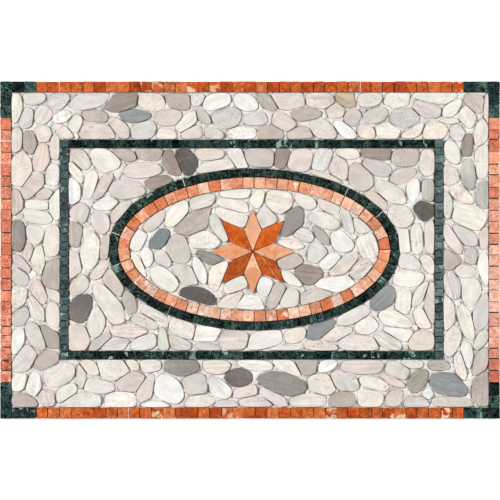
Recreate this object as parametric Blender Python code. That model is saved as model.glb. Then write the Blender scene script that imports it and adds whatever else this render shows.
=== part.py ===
"""Inlay panel of marble tiles and sliced river pebbles, laid on a net.

The panel lies face up on z = 0 with its centre at the origin. X runs along it, Y across it and Z out of
its face. From the edge inwards it has a course of orange tiles with dark green corners, a band of
pebbles, a frame of small green tiles, pebbles again, an oval of green and orange tiles, and a star of
eight cut points among more pebbles. Tiles and pebbles that touch the same film of adhesive are one body.
"""

import math

import bmesh
import bpy
import numpy as np

# Panel and its layers, in metres
PANEL_LENGTH = 0.900
PANEL_WIDTH = 0.6075
NET_THICKNESS = 0.0008
ADHESIVE_FILM = 0.0009
STONE_THICKNESS = 0.010
FIT_GAP = 0.0003

# Tile courses
BORDER_TILE = 0.020
BORDER_PITCH = 0.0208
CORNER_LEG = 0.0655
CORNER_TILES = 3
GREEN_TILE = 0.015
GREEN_PITCH = 0.0142
OVAL_TILE = 0.0195
OVAL_PITCH = 0.0207
OVAL_JOINT = 0.0009
TILE_TIP = 0.0004

# Widths left for pebbles
BAND_LEFT = 0.088
BAND_RIGHT = 0.082
BAND_TOP = 0.085
BAND_BOTTOM = 0.087
OVAL_ROOM_LEFT = 0.073
OVAL_ROOM_RIGHT = 0.064
OVAL_ROOM_SIDE = 0.037

# Star
PALE_REACH = 0.077
DEEP_REACH = 0.081
STAR_JOINT = 0.0011
STAR_SHIFT = (-0.0025, -0.0040)

# Pebbles
STONE_JOINT = 0.0018
EDGE_JOINT = 0.0008
STONE_LENGTH = 0.0435
STONE_BREADTH = 0.0258
STONE_BITE = 0.0002
FILM_STOP = 0.0018
SIZE_SPREAD = 0.21
SLIMMEST = 2.7
ROUNDEST = 1.25
LAY_SPREAD = 0.32
LOOSE_SHARE = 0.22
CORNER_CUT = 1.22
BOX_POWER = 2.6
FEWEST_CORNERS = 5
SIX_CORNER_AREA = 1.114
GRID_SHAKE = 0.35
GRID_CLEARANCE = 0.2
SHAPE_HOLD = 0.6
TRIMS = (1.0, 0.96, 0.92, 0.88)
BAND_SEED = 11
FIELD_SEED = 12
OVAL_SEED = 13

# How finely curves and stones are worked out
STAR_POINTS = 8
QUARTER_SEGMENTS = 8
OVAL_SAMPLES = 7200
DIRECTIONS = 60
SETTLING_ROUNDS = 30
WELD = 1e-6

# Heights that follow from the layers
BED = NET_THICKNESS + FIT_GAP
FACE = BED + STONE_THICKNESS
LOW_FILM = BED + ADHESIVE_FILM
HIGH_FILM = LOW_FILM + FIT_GAP + STONE_BITE

# Rectangles as low x, low y, high x, high y
PANEL = np.array([-PANEL_LENGTH, -PANEL_WIDTH, PANEL_LENGTH, PANEL_WIDTH]) / 2
INWARD = np.array([1, 1, -1, -1])
BORDER_INSIDE = PANEL + INWARD * BORDER_TILE
FRAME_OUTSIDE = BORDER_INSIDE + INWARD * (BAND_LEFT, BAND_BOTTOM, BAND_RIGHT, BAND_TOP)
FRAME_INSIDE = FRAME_OUTSIDE + INWARD * GREEN_TILE
OVAL_BOX = FRAME_INSIDE + INWARD * (OVAL_ROOM_LEFT, OVAL_ROOM_SIDE, OVAL_ROOM_RIGHT, OVAL_ROOM_SIDE)

# The oval's centre and outer half axes, and how deep inside its edge the rest of it lies
OVAL_CENTRE = (OVAL_BOX[:2] + OVAL_BOX[2:]) / 2
OVAL_HALF = (OVAL_BOX[2:] - OVAL_BOX[:2]) / 2
ORANGE_DEPTH = GREEN_TILE + OVAL_JOINT
MEDALLION_DEPTH = ORANGE_DEPTH + OVAL_TILE
STAR_CENTRE = OVAL_CENTRE + STAR_SHIFT

# Unit directions all round a stone
TURNS = 2 * np.pi * np.arange(DIRECTIONS) / DIRECTIONS
ROUND = np.stack([np.cos(TURNS), np.sin(TURNS)], axis=1)
BEYOND = 10 * PANEL_LENGTH
LEAST_REACH = EDGE_JOINT / 4
LEAST_SLOPE = 1e-3
LEAST_SQUARE = 1e-18


def clear_scene():
    for obj in list(bpy.data.objects):
        bpy.data.objects.remove(obj, do_unlink=True)


def new_collection(name):
    collection = bpy.data.collections.new(name)
    bpy.context.scene.collection.children.link(collection)
    return collection


def stone_material(name, colour, roughness):
    material = bpy.data.materials.new(name)
    material.use_nodes = True
    shader = material.node_tree.nodes["Principled BSDF"]
    shader.inputs["Base Color"].default_value = (*colour, 1.0)
    shader.inputs["Roughness"].default_value = roughness
    shader.inputs["Metallic"].default_value = 0.0
    return material


# Solids

def flat_curve(name, outlines, thickness, collection):
    """Closed outlines filled and extruded by half the thickness to each side of the curve's plane."""
    curve = bpy.data.curves.new(name, "CURVE")
    curve.dimensions = "2D"
    curve.fill_mode = "BOTH"
    curve.extrude = thickness / 2
    for outline in outlines:
        spline = curve.splines.new("POLY")
        spline.points.add(len(outline) - 1)
        spline.points.foreach_set("co", [n for x, y in outline for n in (x, y, 0.0, 1.0)])
        spline.use_cyclic_u = True
    obj = bpy.data.objects.new(name, curve)
    collection.objects.link(obj)
    return obj


def as_mesh(curve_object):
    """The curve object's solid as a welded mesh object of the same name and place."""
    bpy.context.view_layer.update()
    graph = bpy.context.evaluated_depsgraph_get()
    mesh = bpy.data.meshes.new_from_object(curve_object.evaluated_get(graph))
    work = bmesh.new()
    work.from_mesh(mesh)
    bmesh.ops.remove_doubles(work, verts=work.verts, dist=WELD)
    bmesh.ops.recalc_face_normals(work, faces=work.faces)
    work.to_mesh(mesh)
    work.free()
    name = curve_object.name
    collection = curve_object.users_collection[0]
    matrix = curve_object.matrix_world.copy()
    bpy.data.objects.remove(curve_object, do_unlink=True)
    obj = bpy.data.objects.new(name, mesh)
    obj.matrix_world = matrix
    collection.objects.link(obj)
    return obj


def slab(name, outlines, low, high, collection):
    """A mesh solid with these outlines seen from above, between two heights."""
    obj = flat_curve(name, outlines, high - low, collection)
    obj.location.z = (low + high) / 2
    return as_mesh(obj)


def join(body, addition):
    """A live union, so that the two stay readable as what they are."""
    addition.hide_render = True
    addition.display_type = "WIRE"
    union = body.modifiers.new("fused", "BOOLEAN")
    union.operation = "UNION"
    union.solver = "EXACT"
    union.object = addition


def finish(obj, material):
    obj.data.materials.clear()
    obj.data.materials.append(material)


# Tile courses

def joint_height(k):
    """Hand-set tiles rock a little: every second joint lies TILE_TIP below the face."""
    return FACE - TILE_TIP * (k % 2)


def straight_course(name, start, along, length, width, pitch, collection):
    """A run of tiles, as the outline of its side view extruded across its width.

    start is the corner from which the run goes along X ("x") or Y ("y"), to the left of which it lies.
    """
    count = max(1, round(length / pitch))
    tops = [(length * k / count, joint_height(k)) for k in range(count, -1, -1)]
    obj = flat_curve(name, [[(0.0, BED), (length, BED), *tops]], width, collection)
    if along == "x":
        obj.location = (start[0], start[1] + width / 2, 0.0)
        obj.rotation_euler = (math.pi / 2, 0.0, 0.0)
    else:
        obj.location = (start[0] + width / 2, start[1], 0.0)
        obj.rotation_euler = (math.pi / 2, 0.0, math.pi / 2)
    return obj


def border_courses(parts, orange):
    low_x, low_y, high_x, high_y = PANEL
    across = high_y - BORDER_TILE
    beside = high_x - BORDER_TILE
    first_x = low_x + CORNER_LEG + FIT_GAP
    first_y = low_y + CORNER_LEG + FIT_GAP
    run_x = PANEL_LENGTH - 2 * (CORNER_LEG + FIT_GAP)
    run_y = PANEL_WIDTH - 2 * (CORNER_LEG + FIT_GAP)
    runs = (
        ("border_top", (first_x, across), "x", run_x),
        ("border_bottom", (first_x, low_y), "x", run_x),
        ("border_left", (low_x, first_y), "y", run_y),
        ("border_right", (beside, first_y), "y", run_y),
    )
    for name, start, along, run in runs:
        finish(straight_course(name, start, along, run, BORDER_TILE, BORDER_PITCH, parts), orange)


def corner_groups(parts, fused, green):
    """An L of green tiles at each corner: a leg along X, and a leg along Y that bites into it."""
    pitch = CORNER_LEG / CORNER_TILES
    leg_y = CORNER_LEG - BORDER_TILE + STONE_BITE
    for name, side_x, side_y in (
        ("corner_top_left", -1, 1),
        ("corner_top_right", 1, 1),
        ("corner_bottom_left", -1, -1),
        ("corner_bottom_right", 1, -1),
    ):
        edge_x = side_x * PANEL_LENGTH / 2
        edge_y = side_y * PANEL_WIDTH / 2
        x_start = (min(edge_x, edge_x - side_x * CORNER_LEG), min(edge_y, edge_y - side_y * BORDER_TILE))
        y_end = edge_y - side_y * (BORDER_TILE - STONE_BITE)
        y_start = (min(edge_x, edge_x - side_x * BORDER_TILE), min(y_end, y_end - side_y * leg_y))
        body = as_mesh(straight_course(name, x_start, "x", CORNER_LEG, BORDER_TILE, pitch, parts))
        leg = as_mesh(straight_course(name + "_leg", y_start, "y", leg_y, BORDER_TILE, pitch, fused))
        join(body, leg)
        finish(body, green)


def frame_courses(parts, green):
    low_x, low_y, high_x, high_y = FRAME_OUTSIDE
    run_x = high_x - low_x - 2 * (GREEN_TILE + FIT_GAP)
    run_y = high_y - low_y
    first_x = low_x + GREEN_TILE + FIT_GAP
    runs = (
        ("frame_top", (first_x, high_y - GREEN_TILE), "x", run_x),
        ("frame_bottom", (first_x, low_y), "x", run_x),
        ("frame_left", (low_x, low_y), "y", run_y),
        ("frame_right", (high_x - GREEN_TILE, low_y), "y", run_y),
    )
    for name, start, along, run in runs:
        finish(straight_course(name, start, along, run, GREEN_TILE, GREEN_PITCH, parts), green)


def oval_line(depth, angle):
    """Points this deep inside the oval's outer edge, square to it, as offsets from its centre."""
    direction = np.stack([np.cos(angle), np.sin(angle)], axis=1)
    outward = direction / OVAL_HALF
    outward /= np.linalg.norm(outward, axis=1)[:, None]
    return OVAL_HALF * direction - depth * outward


def oval_joints(depth, width, pitch):
    """Inner and outer points of every joint of an oval course, evenly spaced along its middle."""
    fine = np.linspace(0.0, 2 * np.pi, OVAL_SAMPLES + 1)
    steps = np.diff(oval_line(depth + width / 2, fine), axis=0)
    travelled = np.concatenate([[0.0], np.cumsum(np.linalg.norm(steps, axis=1))])
    count = 4 * max(1, round(travelled[-1] / pitch / 4))
    angle = np.interp(travelled[-1] * np.arange(count + 1) / count, travelled, fine)
    return OVAL_CENTRE + oval_line(depth + width, angle), OVAL_CENTRE + oval_line(depth, angle)


def oval_quarter(name, inner, outer, collection):
    """A curved run of tiles: a loft through one upright rectangle at each joint."""
    work = bmesh.new()
    sections = []
    for k, (near, far) in enumerate(zip(inner, outer)):
        top = joint_height(k)
        corners = ((*near, BED), (*far, BED), (*far, top), (*near, top))
        sections.append([work.verts.new(corner) for corner in corners])
    for a, b in zip(sections, sections[1:]):
        for k in range(4):
            work.faces.new((a[k], b[k], b[k - 3], a[k - 3]))
    work.faces.new(sections[0])
    work.faces.new(sections[-1])
    bmesh.ops.recalc_face_normals(work, faces=work.faces)
    mesh = bpy.data.meshes.new(name)
    work.to_mesh(mesh)
    work.free()
    obj = bpy.data.objects.new(name, mesh)
    collection.objects.link(obj)
    return obj


def oval_course(name, joints, collection, material):
    """Four quarters, each shortened at one end by the gap that parts it from the next."""
    inner, outer = joints
    tiles = (len(inner) - 1) // 4
    for quarter in range(4):
        span = slice(quarter * tiles, (quarter + 1) * tiles + 1)
        near = inner[span].copy()
        far = outer[span].copy()
        for row in (near, far):
            back = row[-2] - row[-1]
            row[-1] += back * FIT_GAP / np.linalg.norm(back)
        finish(oval_quarter(f"{name}_{quarter + 1}", near, far, collection), material)


# Star

def star_point(k, joint):
    """Corners of the k-th rhombic point, drawn in by half a joint on every side."""
    reach = DEEP_REACH if k % 2 else PALE_REACH
    half_angle = math.pi / STAR_POINTS
    draw_in = joint / 2 / math.sin(half_angle)
    shrink = 1 - 2 * draw_in / reach
    middle = reach / 2
    breadth = middle * math.tan(half_angle) * shrink
    local = np.array([(draw_in, 0), (middle, -breadth), (reach - draw_in, 0), (middle, breadth)])
    turn = 2 * math.pi * k / STAR_POINTS
    cosine, sine = math.cos(turn), math.sin(turn)
    return STAR_CENTRE + local @ np.array([(cosine, sine), (-sine, cosine)])


def star(parts, pale, deep):
    for k in range(STAR_POINTS):
        point = slab(
            f"star_point_{k + 1}", [star_point(k, STAR_JOINT)], HIGH_FILM + FIT_GAP, FACE, parts
        )
        finish(point, deep if k % 2 else pale)


# Pebble layout
#
# Each stone has a centre and a shape matrix whose ellipse gives its length, breadth and lie. Two
# neighbours are parted by the straight line where their ellipses, grown alike, would first meet. A
# stone's outline is what all its lines leave, so stones never overlap. Centres then move to the
# middle of their outlines, and the shapes take up some of the outlines' form, round after round.

def rectangle_points(box):
    return np.array([(box[0], box[1]), (box[2], box[1]), (box[2], box[3]), (box[0], box[3])])


def walls_of(polygon):
    """Rows of outward normal and distance from the origin, for stones inside a convex polygon."""
    edge = np.roll(polygon, -1, axis=0) - polygon
    normal = np.stack([edge[:, 1], -edge[:, 0]], axis=1)
    normal /= np.linalg.norm(normal, axis=1)[:, None]
    return np.column_stack([normal, (normal * polygon).sum(axis=1)])


def nearest_point(polygon, points):
    """The nearest point to each of these points on a polygon's edge."""
    edge = np.roll(polygon, -1, axis=0) - polygon
    along = ((points[:, None] - polygon) * edge).sum(axis=2) / (edge * edge).sum(axis=1)
    foot = polygon + np.clip(along, 0, 1)[..., None] * edge
    away = np.linalg.norm(foot - points[:, None], axis=2)
    return foot[np.arange(len(points)), away.argmin(axis=1)]


def within(polygon, points):
    """Whether each point is inside a convex polygon given anticlockwise."""
    edge = np.roll(polygon, -1, axis=0) - polygon
    offset = points[:, None] - polygon
    return (edge[:, 0] * offset[..., 1] > edge[:, 1] * offset[..., 0]).all(axis=1)


def shape_matrices(size, slimness, lie):
    """Matrices whose ellipses have these sizes, length to breadth ratios and angles to X."""
    cosine, sine = np.cos(lie), np.sin(lie)
    length = np.stack([cosine, sine], axis=1)
    breadth = np.stack([-sine, cosine], axis=1)
    long_part = np.einsum("i,ia,ib->iab", size**2 * slimness, length, length)
    return long_part + np.einsum("i,ia,ib->iab", size**2 / slimness, breadth, breadth)


def resized(shapes, size):
    """The same ellipses with their areas set by size."""
    return shapes * (size**2 / np.sqrt(np.linalg.det(shapes)))[:, None, None]


def parting_lines(centres, shapes, walls, obstacles):
    """Unit normals and distances, from each centre, of the lines that bound its stone.

    The walls' and obstacles' lines come after one line for every stone.
    """
    inverse = np.linalg.inv(shapes)
    offset = centres[None] - centres[:, None]
    pull = np.einsum("iab,ijb->ija", inverse, offset)
    reach = np.sqrt(np.maximum(np.einsum("ija,ija->ij", offset, pull), LEAST_SQUARE))
    pull /= reach[..., None]
    normal = pull - pull.transpose(1, 0, 2)
    size = np.linalg.norm(normal, axis=2)
    np.fill_diagonal(size, 1.0)
    normal /= size[..., None]
    distance = reach.T / (reach + reach.T) * (offset * normal).sum(axis=2) - STONE_JOINT / 2
    np.fill_diagonal(distance, BEYOND)
    normals = [normal, np.broadcast_to(walls[:, :2], (len(centres), len(walls), 2))]
    distances = [distance, walls[:, 2] - centres @ walls[:, :2].T - EDGE_JOINT]
    for obstacle in obstacles:
        away = nearest_point(obstacle, centres) - centres
        room = np.linalg.norm(away, axis=1)
        normals.append((away / room[:, None])[:, None])
        distances.append(room[:, None] - EDGE_JOINT)
    return np.concatenate(normals, axis=1), np.concatenate(distances, axis=1)


def radii(normals, distances):
    """How far each stone reaches in every direction before it meets a line."""
    slope = normals @ ROUND.T
    reach = np.maximum(distances, LEAST_REACH)[..., None] / np.maximum(slope, LEAST_SLOPE)
    return np.where(slope > LEAST_SLOPE, reach, BEYOND).min(axis=1)


def area_centre_spread(reach):
    """Area, middle and second moment per area of outlines given by their radii."""
    near = reach[..., None] * ROUND
    far = np.roll(near, -1, axis=1)
    wedge = (near[..., 0] * far[..., 1] - near[..., 1] * far[..., 0]) / 2
    area = wedge.sum(axis=1)
    middle = ((near + far) * wedge[..., None]).sum(axis=1) / 3 / area[:, None]
    spread = sum(np.einsum("ik,ika,ikb->iab", wedge, v, v) for v in (near, far, near + far)) / 12
    return area, middle, spread / area[:, None, None] - np.einsum("ia,ib->iab", middle, middle)


def starting_centres(random, walls, obstacles):
    """A staggered grid, shaken, without the places that are outside or on an obstacle."""
    xs = np.arange(PANEL[0], PANEL[2], STONE_LENGTH)
    ys = np.arange(PANEL[1], PANEL[3], STONE_BREADTH)
    grid = np.array([(x + row % 2 * STONE_LENGTH / 2, y) for row, y in enumerate(ys) for x in xs])
    grid += random.uniform(-GRID_SHAKE, GRID_SHAKE, grid.shape) * (STONE_LENGTH, STONE_BREADTH)
    clear = GRID_CLEARANCE * STONE_BREADTH
    keep = (walls[:, 2] - grid @ walls[:, :2].T > clear).all(axis=1)
    for obstacle in obstacles:
        away = np.linalg.norm(nearest_point(obstacle, grid) - grid, axis=1)
        keep &= ~within(obstacle, grid) & (away > clear)
    return grid[keep]


def settle(seed, walls, obstacles):
    """Centres, line normals and line distances of the stones that fill a region."""
    random = np.random.default_rng(seed)
    centres = starting_centres(random, walls, obstacles)
    count = len(centres)
    rows = np.arange(count)
    size = np.exp(random.normal(0.0, SIZE_SPREAD, count))
    slimness = random.uniform(ROUNDEST, SLIMMEST, count)
    loose = random.random(count) < LOOSE_SHARE
    any_lie = random.uniform(0.0, np.pi, count)
    off_wall = random.normal(np.pi / 2, LAY_SPREAD, count)
    shapes = shape_matrices(size, slimness, any_lie)
    for _ in range(SETTLING_ROUNDS):
        normals, distances = parting_lines(centres, shapes, walls, obstacles)
        _, middle, spread = area_centre_spread(radii(normals, distances))
        centres = centres + middle
        wall = normals[rows, count + distances[:, count:].argmin(axis=1)]
        lie = np.where(loose, any_lie, np.arctan2(wall[:, 1], wall[:, 0]) + off_wall)
        wanted = shape_matrices(size, slimness, lie)
        shapes = resized(SHAPE_HOLD * wanted + (1 - SHAPE_HOLD) * resized(spread, size), size)
    return (centres, *parting_lines(centres, shapes, walls, obstacles))


def fewer_corners(outline, count):
    """The outline without the corners that take the least area with them."""
    while len(outline) > count:
        before = np.roll(outline, 1, axis=0) - outline
        after = np.roll(outline, -1, axis=0) - outline
        loss = np.abs(before[:, 0] * after[:, 1] - before[:, 1] * after[:, 0])
        outline = np.delete(outline, loss.argmin(), axis=0)
    return outline


def stone_outlines(seed, walls, obstacles):
    """Outlines with five or six corners, from what the lines leave and a rounded box about it."""
    centres, normals, distances = settle(seed, walls, obstacles)
    reach = radii(normals, distances)
    area, middle, spread = area_centre_spread(reach)
    variance, axes = np.linalg.eigh(spread)
    from_middle = reach[..., None] * ROUND - middle[:, None]
    own = np.einsum("ika,iab->ikb", from_middle, axes) / (2 * np.sqrt(variance))[:, None]
    roundness = (np.abs(own) ** BOX_POWER).sum(axis=2) ** (1 / BOX_POWER)
    from_middle *= np.minimum(1.0, CORNER_CUT / roundness)[..., None]
    outlines = (centres + middle)[:, None] + from_middle
    corners = FEWEST_CORNERS + (area > SIX_CORNER_AREA * STONE_LENGTH * STONE_BREADTH)
    return [fewer_corners(outline, count) for outline, count in zip(outlines, corners)]


# Pebble fields

def shared_out(outlines, field_of, high_fields):
    """The stones of each field.

    A stone across a seam goes to the field with the higher film, since it then clears the lower one.
    One that crosses by a little is trimmed back instead.
    """
    stones = {}
    for outline in outlines:
        centre = outline.mean(axis=0)
        for trim in TRIMS:
            trimmed = centre + (outline - centre) * trim
            fields = set(field_of(trimmed).tolist())
            if len(fields) == 1:
                break
        else:
            trimmed = outline
            fields &= high_fields
        stones.setdefault(fields.pop(), []).append(trimmed)
    return stones


def pebble_field(name, film_outline, stones, high, parts, fused, material):
    """A film of adhesive with its stones standing on it, bitten in a little."""
    film_top = HIGH_FILM if high else LOW_FILM
    body = slab(name, [film_outline], BED, film_top, parts)
    join(body, slab(name + "_stones", stones, film_top - STONE_BITE, FACE, fused))
    finish(body, material)


def band_fields(parts, fused, material):
    """Pebbles between border and frame: full-length fields above and below, short ones between."""
    outer = BORDER_INSIDE + INWARD * FIT_GAP
    inner = FRAME_OUTSIDE - INWARD * FIT_GAP
    seam = FIT_GAP / 2

    def field_of(points):
        beside = np.where(points[:, 0] < OVAL_CENTRE[0], 2, 3)
        below = np.where(points[:, 1] < FRAME_OUTSIDE[1], 1, beside)
        return np.where(points[:, 1] > FRAME_OUTSIDE[3], 0, below)

    films = (
        ("pebbles_band_top", (outer[0], FRAME_OUTSIDE[3] + FIT_GAP, outer[2], outer[3])),
        ("pebbles_band_bottom", (outer[0], outer[1], outer[2], FRAME_OUTSIDE[1] - FIT_GAP)),
        ("pebbles_band_left", (outer[0], FRAME_OUTSIDE[1] + seam, inner[0], FRAME_OUTSIDE[3] - seam)),
        ("pebbles_band_right", (inner[2], FRAME_OUTSIDE[1] + seam, outer[2], FRAME_OUTSIDE[3] - seam)),
    )
    walls = walls_of(rectangle_points(BORDER_INSIDE))
    outlines = stone_outlines(BAND_SEED, walls, [rectangle_points(FRAME_OUTSIDE)])
    stones = shared_out(outlines, field_of, {0, 1})
    for k, (name, box) in enumerate(films):
        pebble_field(name, rectangle_points(box), stones[k], k < 2, parts, fused, material)


def spandrel_film(side_x, side_y):
    """A corner of the frame's inside with the oval cut out of it, as straight steps round the oval."""
    seam = FIT_GAP / 2
    corner = np.where((side_x > 0, side_y > 0), FRAME_INSIDE[2:], FRAME_INSIDE[:2])
    corner = corner - np.array((side_x, side_y)) * FIT_GAP
    step = math.pi / 2 / QUARTER_SEGMENTS
    half = (OVAL_HALF + FIT_GAP) / math.cos(step / 2)
    angle = step * np.arange(QUARTER_SEGMENTS + 1)
    arc_x = OVAL_CENTRE[0] + side_x * np.maximum(half[0] * np.cos(angle), seam)
    arc_y = OVAL_CENTRE[1] + side_y * np.maximum(half[1] * np.sin(angle), seam)
    sides = [(arc_x[-1], corner[1]), tuple(corner), (corner[0], arc_y[0])]
    return [*zip(arc_x, arc_y), *sides]


def spandrel_fields(oval_edge, parts, fused, material):
    """Pebbles between frame and oval, in four quarters that have high and low films by turns."""

    def field_of(points):
        return (points[:, 0] > OVAL_CENTRE[0]) + 2 * (points[:, 1] < OVAL_CENTRE[1])

    quarters = (
        ("pebbles_field_top_left", -1, 1, True),
        ("pebbles_field_top_right", 1, 1, False),
        ("pebbles_field_bottom_left", -1, -1, False),
        ("pebbles_field_bottom_right", 1, -1, True),
    )
    outlines = stone_outlines(FIELD_SEED, walls_of(rectangle_points(FRAME_INSIDE)), [oval_edge])
    stones = shared_out(outlines, field_of, {0, 3})
    for k, (name, side_x, side_y, high) in enumerate(quarters):
        film = spandrel_film(side_x, side_y)
        pebble_field(name, film, stones[k], high, parts, fused, material)


def medallion_film(side):
    """Half of the oval's inside, to one side of its middle."""
    angle = np.linspace(-np.pi / 2, np.pi / 2, 2 * QUARTER_SEGMENTS + 1)
    line = oval_line(MEDALLION_DEPTH + FILM_STOP, angle)
    arc_x = OVAL_CENTRE[0] + side * np.maximum(line[:, 0], FIT_GAP / 2)
    return [*zip(arc_x, OVAL_CENTRE[1] + line[:, 1])]


def medallion_fields(oval_edge, parts, fused, material):
    """Pebbles round the star, in a left and a right field. The star lies on their films."""

    def field_of(points):
        return (points[:, 0] > OVAL_CENTRE[0]).astype(int)

    points = [star_point(k, 0.0) for k in range(STAR_POINTS)]
    outlines = stone_outlines(OVAL_SEED, walls_of(oval_edge), points)
    stones = shared_out(outlines, field_of, {0})
    halves = (("pebbles_oval_left", -1, True), ("pebbles_oval_right", 1, False))
    for k, (name, side, high) in enumerate(halves):
        pebble_field(name, medallion_film(side), stones[k], high, parts, fused, material)


def main():
    clear_scene()
    parts = new_collection("mosaic_panel")
    fused = new_collection("fused_shapes")
    fused.hide_render = True
    net = stone_material("glass_net", (0.80, 0.79, 0.76), 0.85)
    orange = stone_material("orange_marble", (0.55, 0.15, 0.045), 0.5)
    green = stone_material("dark_green_marble", (0.022, 0.045, 0.042), 0.45)
    pale_orange = stone_material("pale_orange_marble", (0.78, 0.42, 0.27), 0.5)
    pale_point = stone_material("peach_marble", (0.83, 0.40, 0.22), 0.45)
    deep_point = stone_material("rust_marble", (0.56, 0.14, 0.03), 0.45)
    pebble = stone_material("river_pebble", (0.66, 0.61, 0.56), 0.6)

    finish(slab("net_backing", [rectangle_points(PANEL)], 0.0, NET_THICKNESS, parts), net)
    border_courses(parts, orange)
    corner_groups(parts, fused, green)
    band_fields(parts, fused, pebble)
    frame_courses(parts, green)
    green_joints = oval_joints(0.0, GREEN_TILE, GREEN_PITCH)
    orange_joints = oval_joints(ORANGE_DEPTH, OVAL_TILE, OVAL_PITCH)
    spandrel_fields(green_joints[1][:-1], parts, fused, pebble)
    oval_course("oval_green", green_joints, parts, green)
    oval_course("oval_orange", orange_joints, parts, pale_orange)
    medallion_fields(orange_joints[0][:-1], parts, fused, pebble)
    star(parts, pale_point, deep_point)


main()
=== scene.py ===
"""Looks of the inlay panel: river pebbles, split marble tiles, adhesive and net in place of the CAD solids.

All lengths are metres in the panel's own frame: it lies face up, X along it, Y towards its top edge and Z
out of its face. Every piece is worked out as whole arrays and takes its place from the CAD nodes.
"""

import math

import bpy
import numpy as np
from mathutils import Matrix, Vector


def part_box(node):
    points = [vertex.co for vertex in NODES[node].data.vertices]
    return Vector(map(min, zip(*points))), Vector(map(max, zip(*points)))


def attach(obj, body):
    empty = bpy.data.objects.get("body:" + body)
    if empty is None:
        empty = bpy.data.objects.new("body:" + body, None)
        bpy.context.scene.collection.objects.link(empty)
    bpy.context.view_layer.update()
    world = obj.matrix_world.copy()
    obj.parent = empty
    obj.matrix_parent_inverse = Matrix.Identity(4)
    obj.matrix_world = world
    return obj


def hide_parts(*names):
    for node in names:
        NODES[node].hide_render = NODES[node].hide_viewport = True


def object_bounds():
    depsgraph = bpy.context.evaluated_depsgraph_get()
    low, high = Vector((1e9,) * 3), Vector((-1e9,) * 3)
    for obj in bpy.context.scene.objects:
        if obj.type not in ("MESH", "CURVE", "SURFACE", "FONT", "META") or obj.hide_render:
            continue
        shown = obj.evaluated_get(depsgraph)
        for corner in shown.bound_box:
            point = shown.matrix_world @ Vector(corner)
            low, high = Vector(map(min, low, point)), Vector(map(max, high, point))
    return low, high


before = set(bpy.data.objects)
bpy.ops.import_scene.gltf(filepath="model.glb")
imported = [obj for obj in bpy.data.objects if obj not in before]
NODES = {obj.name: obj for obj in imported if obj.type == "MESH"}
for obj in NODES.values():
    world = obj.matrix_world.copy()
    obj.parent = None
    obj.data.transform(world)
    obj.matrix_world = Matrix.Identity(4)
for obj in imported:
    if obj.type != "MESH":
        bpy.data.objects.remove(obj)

CAD_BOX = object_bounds()
PANEL_LOW, PANEL_HIGH = (np.array(corner)[:2] for corner in CAD_BOX)

# Layers and tiles, as the CAD has them
BED = 0.0011
FACE = CAD_BOX[1].z
NET_THICKNESS = 0.0008
GREEN_TILE = 0.015
GREEN_PITCH = 0.0142
OVAL_TILE = 0.0195
OVAL_PITCH = 0.0207
OVAL_JOINT = 0.0009
BORDER_TILE = 0.020
BORDER_PITCH = 0.0208
CORNER_TILES = 3

# Stones and tiles: how blunt the oval about a stone is, and how far its underside is over the bed; a
# tile's rounding, how far its corners stray, the joint kept at both ends of a straight course, and the hair
# by which tiles stay inside it
BLUNTNESS = 2.6
STONE_FOOT = 0.0004
TILE_ROUNDING = 0.0007
CORNER_STRAY = 0.00012
END_JOINT = 0.0002
HAIR = 1e-5

# Splinters in the gaps: the grid on which gaps are looked for, how far round a splinter, and half sizes
CHIP_GRID = 0.001
CHIP_REACH = 0.012
LEAST_CHIP = 0.0054
MOST_CHIP = 0.0080

# Adhesive: its grid, its inset from the panel's edge, how deep it sinks into the net, and the room that
# counts as a full gap; its height over the film in a narrow gap, how much it rises in a full one, and its
# least and most; then how far it takes to rise from the film, beside a course and round the star's centre
ADHESIVE_GRID = 0.0034
ADHESIVE_INSET = 0.0012
NET_SINK = 0.0003
FULL_GAP = 0.0020
NARROW_WELLING = 0.0034
GAP_RISE = 0.0042
LEAST_WELLING = 0.0020
MOST_WELLING = 0.0084
COURSE_EDGE = 0.0012
STAR_EDGE = 0.008

# Net: its inset, the pitch of its strands, their thickness and half width, and the levels of their middles
NET_INSET = 0.0004
NET_PITCH = 0.005
STRAND_THICKNESS = 0.0004
STRAND_HALF_WIDTH = 0.0007
STRAND_LEVELS = (0.0002, 0.0005)

# Marks of two star points: how far the arch's middle lies below the star's, and its radius; the direction
# square to the seam, how far from the star's centre it passes, and how far it wanders
ARCH_DROP = 0.041
ARCH_RADIUS = 0.0145
SEAM_SQUARE = np.array([0.812, 0.583])
SEAM_OFFSET = 0.0076
SEAM_WANDER = 0.003

# Camera: its height over the face, and the width that it sees there
CAMERA_HEIGHT = 6.0
VIEW_WIDTH = 0.9

# How much brighter than a stone's own colour the studio shows it
STUDIO_GAIN = 1.29

# A full turn
TAU = 2 * np.pi


def linear(red, green, blue):
    """A colour seen in the studio, as 0 to 255 a channel, turned into the stone's own linear colour."""
    seen = np.array([red, green, blue]) / 255
    value = np.where(seen > 0.04045, ((seen + 0.055) / 1.055) ** 2.4, seen / 12.92)
    return value / STUDIO_GAIN


# Stone colours, as seen, each with its share of the stones
PEBBLE_TONES = {
    "white": ((238, 235, 230), 0.10),
    "ivory": ((234, 230, 219), 0.09),
    "cream": ((230, 223, 214), 0.18),
    "shell": ((223, 212, 205), 0.20),
    "pale_grey": ((214, 208, 202), 0.16),
    "rose_grey": ((205, 195, 188), 0.12),
    "taupe": ((191, 181, 172), 0.06),
    "mist_green": ((217, 216, 207), 0.04),
    "drab": ((171, 161, 151), 0.015),
}

# Splinters take only this many of the first tones, all of them pale
PALE_TONES = 5

# How far the stones' colours go towards the palest stone in some fields, or away from it below 0
PALEST_STONE = (242, 236, 228)
PALER_FIELDS = {
    "pebbles_field_bottom_right": 0.42,
    "pebbles_field_bottom_left": 0.10,
    "pebbles_oval_left": 0.26,
    "pebbles_oval_right": 0.20,
    "pebbles_band_left": -0.22,
    "pebbles_field_top_right": -0.20,
}

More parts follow.
